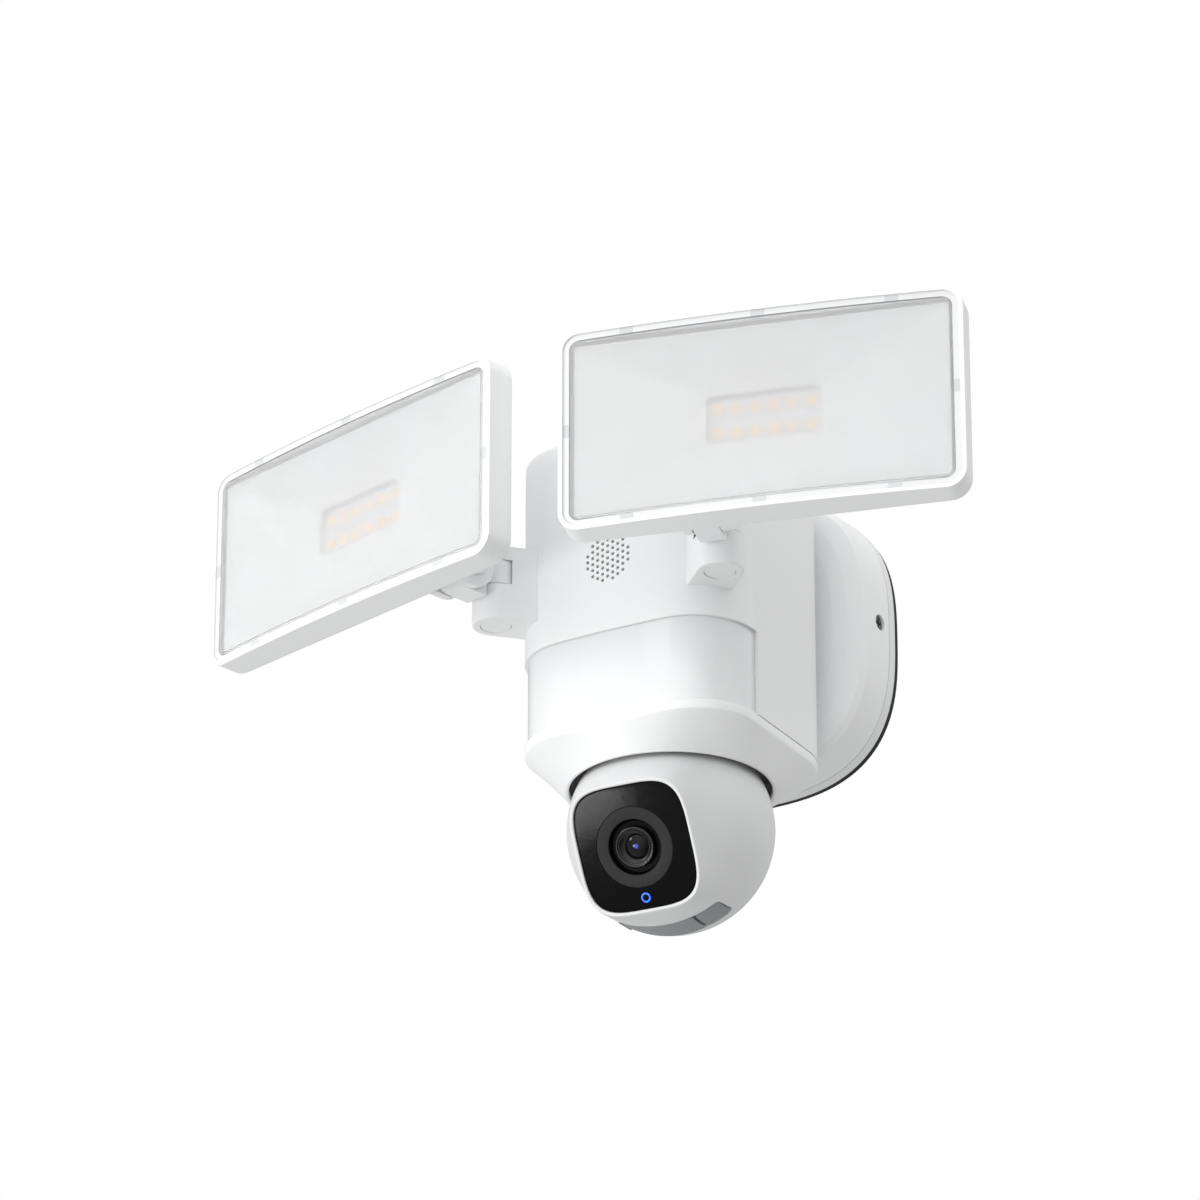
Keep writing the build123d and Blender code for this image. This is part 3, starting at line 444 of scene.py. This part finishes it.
def start_material(name, **sockets):
    """Material with one Principled shader, its plain values set on its own sockets."""
    material = bpy.data.materials.new(name)
    material.use_nodes = True
    n = Nodes(material.node_tree)
    shader = n.add("ShaderNodeBsdfPrincipled", {key.replace("_", " "): value for key, value in sockets.items()})
    output = n.add("ShaderNodeOutputMaterial")
    n.tree.links.new(shader.outputs[0], output.inputs[0])
    place = n.add("ShaderNodeTexCoord").outputs["Object"]
    return material, n, shader, place


def grouped(name, tree, values, **sockets):
    """Material whose colour, gloss and normal come from one shared group."""
    material, n, shader, place = start_material(name, **sockets)
    finish = n.add("ShaderNodeGroup", node_tree=tree)
    n.tree.links.new(place, finish.inputs["Vector"])
    for key, value in values.items():
        finish.inputs[key].default_value = value
    for output, end in (("Colour", "Base Color"), ("Roughness", "Roughness"), ("Normal", "Normal")):
        n.tree.links.new(finish.outputs[output], shader.inputs[end])
    return material


def plastic(name, colour, roughness, grain=2500.0, unevenness=0.02, edge=0.0004, **sockets):
    """A moulded plastic or rubber."""
    values = {"Colour": (*colour, 1), "Roughness": roughness, "Grain": grain, "Unevenness": unevenness,
              "Edge": edge}
    return grouped(name, moulded, values, **sockets)


def metallic(name, colour, roughness):
    """A bare metal."""
    return grouped(name, metal, {"Colour": (*colour, 1), "Roughness": roughness}, Metallic=1.0)


def board_material(name, colour, trace):
    """Circuit board: solder mask with lighter traces on a grid, fine mask texture."""
    material, n, shader, place = start_material(name, Roughness=0.35)
    cells = {"Vector": place, "Scale": 260.0}
    edges = n.add("ShaderNodeTexVoronoi", cells, feature="DISTANCE_TO_EDGE", distance="CHEBYCHEV").outputs[0]
    lines = n.span(edges, 0.06, 0.1, 1.0, 0.0)
    n.feed(shader, {"Base Color": n.blend(lines, (*colour, 1), (*trace, 1)),
                    "Normal": n.bump(lines, 0.4, 0.00003)})
    return material


def in_panel(n, place):
    """A shading point's place in its light panel: outputs Across, Depth and Up, in millimetres."""
    return n.add("ShaderNodeGroup", {"Vector": place}, node_tree=panel_place).outputs


def emitter_board():
    """White board of a light panel, with warm light painted in its colour round each emitter."""
    material, n, shader, place = start_material("emitter_board", Roughness=0.4)
    where = in_panel(n, place)
    across = n.math("SUBTRACT", n.math("PINGPONG", where["Across"], EMITTER_STEP / 2), EMITTER_STEP / 2)
    up = n.math("SUBTRACT", n.math("ABSOLUTE", where["Up"]), EMITTER_ROW)
    distance = n.math("SQRT", n.math("ADD", n.math("POWER", across, 2.0), n.math("POWER", up, 2.0)))
    # painted light: a warm pool round each emitter, in the base colour
    painted_spill = n.span(distance, 1.2, 3.6, 0.55, 0.0)
    n.feed(shader, {"Base Color": n.blend(painted_spill, (0.80, 0.82, 0.87, 1), (0.95, 0.72, 0.48, 1))})
    return material


def seal_material():
    """Grey channel seal with darker clip windows: three along each long side, one on each short side."""
    material, n, shader, place = start_material("channel_seal", Roughness=0.45)
    where = in_panel(n, place)
    across, up = n.math("ABSOLUTE", where["Across"]), n.math("ABSOLUTE", where["Up"])
    in_step = n.math("LESS_THAN", n.math("PINGPONG", across, CLIP_STEP / 2), CLIP_HALF)
    long_side = n.math("MULTIPLY", in_step, n.math("LESS_THAN", across, LONG_SIDE_HALF))
    in_middle = n.math("LESS_THAN", up, CLIP_HALF)
    short_side = n.math("MULTIPLY", in_middle, n.math("GREATER_THAN", across, LONG_SIDE_HALF))
    clip = n.math("MAXIMUM", long_side, short_side)
    n.feed(shader, {"Base Color": n.blend(clip, (0.76, 0.765, 0.77, 1), (0.62, 0.63, 0.64, 1)),
                    "Normal": n.bump(n.noise(place, 1500.0), 0.3, 0.00005)})
    return material


def frosted_lens():
    """Frosted cover of a light panel: milky, half see-through, with a very fine etched texture."""
    material, n, shader, place = start_material("frosted_lens", Transmission_Weight=0.68, IOR=1.10)
    cloud = n.noise(place, 30.0)
    tint = n.blend(n.span(cloud, 0.3, 0.7), (0.975, 0.98, 0.985, 1), (0.965, 0.968, 0.97, 1))
    n.feed(shader, {"Base Color": tint,
                    "Roughness": n.span(cloud, 0.3, 0.7, 0.12, 0.14),
                    "Normal": n.bump(n.noise(place, 6000.0), 0.1, 0.00003)})
    return material


def window_material():
    """Milky motion window: polished outside, faintly cloudy, with painted shade making it a little greyer
    towards either end.
    """
    material, n, shader, place = start_material("milky_window", Coat_Weight=1.0, Coat_Roughness=0.03,
                                                Coat_IOR=1.5)
    across = n.math("ABSOLUTE", n.add("ShaderNodeSeparateXYZ", {0: place}).outputs[0])
    # painted shade: the base colour greys towards either end
    painted_end_shade = n.math("MULTIPLY", n.span(across, 0.0440, 0.0461), 0.5)
    shade = n.span(n.noise(place, 40.0), 0.35, 0.65)
    milky = n.blend(shade, (0.77, 0.785, 0.79, 1), (0.79, 0.80, 0.805, 1))
    n.feed(shader, {"Base Color": n.blend(painted_end_shade, milky, (0.70, 0.71, 0.72, 1)),
                    "Roughness": n.span(shade, 0.0, 1.0, 0.30, 0.36)})
    return material


def along_lens(n, place):
    """Distance ahead of the ball's centre along the lens axis, in millimetres, at a shading point."""
    ahead = head_to_world(np.array([0.0, -1.0, 0.0])) - BALL_CENTRE
    centre = tuple(BALL_CENTRE * MM)
    from_centre = n.add("ShaderNodeVectorMath", {0: place, 1: centre}, operation="SUBTRACT").outputs[0]
    inputs = {0: from_centre, 1: tuple(ahead)}
    along = n.add("ShaderNodeVectorMath", inputs, operation="DOT_PRODUCT").outputs["Value"]
    return n.math("MULTIPLY", along, 1 / MM)


def bezel_material():
    """Matt ring round the lens: dark grey on its flat face, with painted shade down in the recess, which is
    nearly black.
    """
    material, n, shader, place = start_material("bezel_matt", Roughness=0.42, Specular_IOR_Level=0.05)
    # painted shade: the base colour goes nearly black below the flat face, down in the recess
    face = n.span(along_lens(n, place), 35.5, 35.9)
    n.feed(shader, {"Base Color": n.blend(face, (0.003, 0.003, 0.0032, 1), (0.033, 0.033, 0.034, 1)),
                    "Normal": n.bump(n.noise(place, 5000.0, 3.0, 0.6), 0.3, 0.00003)})
    return material


def coated_glass():
    """Dark front element: a soft sheen, and a small violet painted glint near the middle, which also glows at a
    fixed place.
    """
    material, n, shader, place = start_material(
        "coated_glass", Roughness=0.09, Specular_IOR_Level=0.17, Coat_Weight=0.08, Coat_Roughness=0.02,
        Coat_Tint=(0.82, 0.78, 1.0, 1.0), Emission_Strength=0.8)
    # painted glint: violet base colour and glow round a fixed place, not a reflection
    glint = tuple(head_to_world(np.array(PAINTED_GLINT_PLACE)) * MM)
    distance = n.add("ShaderNodeVectorMath", {0: place, 1: glint}, operation="DISTANCE").outputs["Value"]
    painted_violet_glint = n.span(distance, 0.0005, 0.0011, 1.0, 0.0)
    n.feed(shader, {"Base Color": n.blend(painted_violet_glint, (0.004, 0.004, 0.005, 1), (0.05, 0.05, 0.30, 1)),
                    "Emission Color": n.blend(painted_violet_glint, (0.0, 0.0, 0.0, 1), (0.06, 0.06, 0.34, 1))})
    return material


def reflector_material():
    """White paint of the reflector: satin, with painted shade that makes the faces looking down in the world
    greyer.
    """
    material, n, shader, place = start_material("reflector_white", Roughness=0.3)
    normal = n.add("ShaderNodeNewGeometry").outputs["True Normal"]
    facing_up = n.add("ShaderNodeSeparateXYZ", {0: normal}).outputs[2]
    cloud = n.span(n.noise(place, 40.0), 0.3, 0.7, -0.03, 0.03)
    # painted shade: the base colour turns greyer as a face looks further down, by its direction in the world
    painted_shade_by_facing = n.span(n.math("ADD", facing_up, cloud), -0.35, 0.05)
    n.feed(shader, {"Base Color": n.blend(painted_shade_by_facing, (0.66, 0.66, 0.67, 1), (0.95, 0.95, 0.95, 1))})
    return material


def status_material():
    """Blue light guide, lit from behind."""
    material, n, shader, place = start_material("status_blue", Roughness=0.3, Emission_Strength=0.75)
    cloud = n.span(n.noise(place, 500.0), 0.3, 0.7)
    lit = n.blend(cloud, (0.012, 0.13, 1.0, 1), (0.02, 0.18, 1.0, 1))
    n.feed(shader, {"Emission Color": lit, "Base Color": n.blend(0.5, lit, (0.0, 0.05, 0.6, 1))})
    return material


def chip_material():
    """Phosphor of the emitters: warm, slightly mottled."""
    material, n, shader, place = start_material("phosphor", Roughness=0.5, Emission_Strength=0.12)
    cloud = n.span(n.noise(place, 900.0), 0.3, 0.7)
    warm = n.blend(cloud, (0.95, 0.60, 0.30, 1), (0.98, 0.70, 0.38, 1))
    n.feed(shader, {"Base Color": warm, "Emission Color": warm})
    return material


finishes = {
    "shell_white": plastic("shell_white", (0.86, 0.865, 0.87), 0.40, edge=0.0002, unevenness=0.015),
    "foam_black": plastic("foam_black", (0.012, 0.012, 0.012), 0.85, grain=900.0, unevenness=0.3,
                          edge=0.0006),
    "plate_grey": plastic("plate_grey", (0.80, 0.81, 0.82), 0.5),
    "rubber_dark": plastic("rubber_dark", (0.03, 0.03, 0.03), 0.7, unevenness=0.2),
    "screw_dark": metallic("screw_dark", (0.16, 0.16, 0.17), 0.4),
    "terminal_white": plastic("terminal_white", (0.78, 0.76, 0.70), 0.45),
    "board_green": board_material("board_green", (0.01, 0.11, 0.04), (0.02, 0.20, 0.07)),
    "steel": metallic("steel", (0.62, 0.62, 0.63), 0.3),
    "window_milky": window_material(),
    "speaker_black": plastic("speaker_black", (0.02, 0.02, 0.02), 0.6, grain=1200.0),
    "motor_steel": metallic("motor_steel", (0.50, 0.51, 0.52), 0.35),
    "inner_grey": plastic("inner_grey", (0.10, 0.10, 0.105), 0.5),
    "face_black": plastic("face_black", (0.0022, 0.0022, 0.0024), 0.13, grain=300.0, unevenness=0.1,
                          edge=0.0001, Specular_IOR_Level=0.07),
    "bezel_matt": bezel_material(),
    "barrel_satin": plastic("barrel_satin", (0.006, 0.006, 0.0065), 0.26, grain=5000.0, unevenness=0.1,
                            edge=0.00015, Specular_IOR_Level=0.5),
    # the ball's shells: the housing's white plastic, painted darker to stand in for the shade on the ball
    "ball_painted_shade_white": plastic("ball_painted_shade_white", (0.71, 0.715, 0.72), 0.36, edge=0.0002, unevenness=0.015),
    "lens_glass": coated_glass(),
    "status_blue": status_material(),
    "port_rubber": plastic("port_rubber", (0.255, 0.265, 0.275), 0.5, grain=2000.0, unevenness=0.05,
                           edge=0.0002),
    "seal_grey": seal_material(),
    "lens_frosted": frosted_lens(),
    "reflector_white": reflector_material(),
    "board_white": emitter_board(),
    "chip_phosphor": chip_material(),
    "aluminium": metallic("aluminium", (0.80, 0.81, 0.82), 0.3),
}


def dress(piece, slot):
    """Give a piece the finish of one of the record's material slots."""
    piece.data.materials.clear()
    piece.data.materials.append(finishes[slot])


# Nodes whose finish differs from the other nodes of their slot; the ball's shells take a darker white with
# painted shade
own_finish = {"head_front_shell": "ball_painted_shade_white", "head_rear_shell": "ball_painted_shade_white", "lens_tube": "barrel_satin"}
node_slot = {row["node"]: row["material_slot"] for row in frame["record"]["subparts"]}
for node, piece in nodes.items():
    dress(piece, own_finish.get(node, node_slot[node]))

for make, slot, node, body in (
        (ball_front, "shell_white", "head_front_shell", "camera_head"),
        (dark_plate, "face_black", "face_plate", "camera_head"),
        (lens_surround, "bezel_matt", "lens_bezel", "camera_head"),
        (lens_barrel, "bezel_matt", "lens_tube", "camera_head"),
        (front_glass, "lens_glass", "lens_glass", "camera_head"),
        (status_light, "status_blue", "status_ring", "camera_head"),
        (microphone_eyelet, "bezel_matt", None, "camera_head"),
        (round_collar, "shell_white", "collar", "base")):
    piece = make()
    dress(piece, own_finish.get(node, slot))
    if node:
        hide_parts(node)
    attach(piece, body)


# ---------------------------------------------------------------- floor, light and camera

FLOOR_HALF, FLOOR_LEVEL = 40, -1.6
corners = [(x * FLOOR_HALF, y * FLOOR_HALF, FLOOR_LEVEL) for x, y in ((-1, -1), (1, -1), (1, 1), (-1, 1))]
floor_mesh = bpy.data.meshes.new("studio_floor")
floor_mesh.from_pydata(corners, [], [(0, 1, 2, 3)])
floor = bpy.data.objects.new("studio_floor", floor_mesh)
bpy.context.scene.collection.objects.link(floor)
floor_paint, n, shader, place = start_material("floor_paint", Roughness=0.9)
n.feed(shader, {"Base Color": n.blend(n.noise(place, 3.0), (0.80, 0.80, 0.80, 1), (0.82, 0.82, 0.82, 1))})
floor_mesh.materials.append(floor_paint)
floor.visible_diffuse = floor.visible_glossy = False


def softbox(name, place, target, width, height, power):
    """Rectangular studio light at a place, turned towards a target."""
    lamp = bpy.data.lights.new(name, "AREA")
    lamp.shape, lamp.size, lamp.size_y, lamp.energy = "RECTANGLE", width, height, power
    light = bpy.data.objects.new(name, lamp)
    bpy.context.scene.collection.objects.link(light)
    light.location = place
    way = np.array(target) - np.array(place)
    flat = math.hypot(way[0], way[1])
    light.rotation_euler = (math.atan2(flat, -way[2]), 0.0, math.atan2(way[1], way[0]) - math.pi / 2)
    return light


softbox("key_softbox", (-1.5, -1.9, 0.5), (0.0, -0.09, -0.02), 0.55, 0.55, 9.0)
softbox("plate_softbox", (-0.70, -1.40, -0.76), (0.0, -0.12, -0.09), 0.27, 0.27, 5.2)

# The studio's light: broad lobes, each a direction and a strength, brightest ahead, to the left and
# above, with one dark lobe at the lower right
LOBE_POWER, LEAST_LIGHT = 4.0, 0.02
LOBES = (
    ((0, 0, -1), 0.25), ((0, 0, 1), 0.70), ((0, 1, -1), 0.90), ((0, 1, 1), 0.85), ((-1, -1, 1), 0.35),
    ((1, 0, 1), 1.20), ((1, 1, 0), 1.00), ((-1, 0, -1), 0.70), ((-1, 0, 0), 1.05), ((-1, 1, 0), 0.30),
    ((0, -1, -1), 0.75), ((0, -1, 0), 1.42), ((0, -1, 1), 1.00), ((1, -1, 0), 0.55), ((1, -0.3, -1.4), -0.18),
)
world = bpy.data.worlds.new("studio")
bpy.context.scene.world = world
world.use_nodes = True
n = Nodes(world.node_tree)
direction = n.add("ShaderNodeTexCoord").outputs["Generated"]
ambient = LEAST_LIGHT
for lobe, strength in LOBES:
    towards = tuple(np.array(lobe) / np.linalg.norm(lobe))
    inputs = {0: direction, 1: towards}
    facing = n.add("ShaderNodeVectorMath", inputs, operation="DOT_PRODUCT").outputs["Value"]
    glow = n.math("POWER", n.math("MAXIMUM", facing, 0.0), LOBE_POWER)
    ambient = n.math("MULTIPLY_ADD", glow, strength, ambient)
ambient = n.math("MAXIMUM", ambient, LEAST_LIGHT)
around = n.add("ShaderNodeBackground", {0: (0.8, 0.8, 0.8, 1), 1: ambient}).outputs[0]
behind = n.add("ShaderNodeBackground", {0: (1, 1, 1, 1), 1: 1.0}).outputs[0]
seen = n.add("ShaderNodeLightPath").outputs["Is Camera Ray"]
both = n.add("ShaderNodeMixShader", {0: seen, 1: around, 2: behind}).outputs[0]
n.add("ShaderNodeOutputWorld", {0: both})

lens = bpy.data.cameras.new("camera")
lens.lens, lens.sensor_width, lens.clip_end = 200.0, 36.0, 100.0
camera = bpy.data.objects.new("camera", lens)
bpy.context.scene.collection.objects.link(camera)
camera.location = (1.12533, -2.07544, -1.06334)
camera.rotation_euler = (math.radians(114.87), 0.0, math.radians(30.02))
bpy.context.scene.camera = camera
bpy.context.scene.view_settings.view_transform = "Standard"
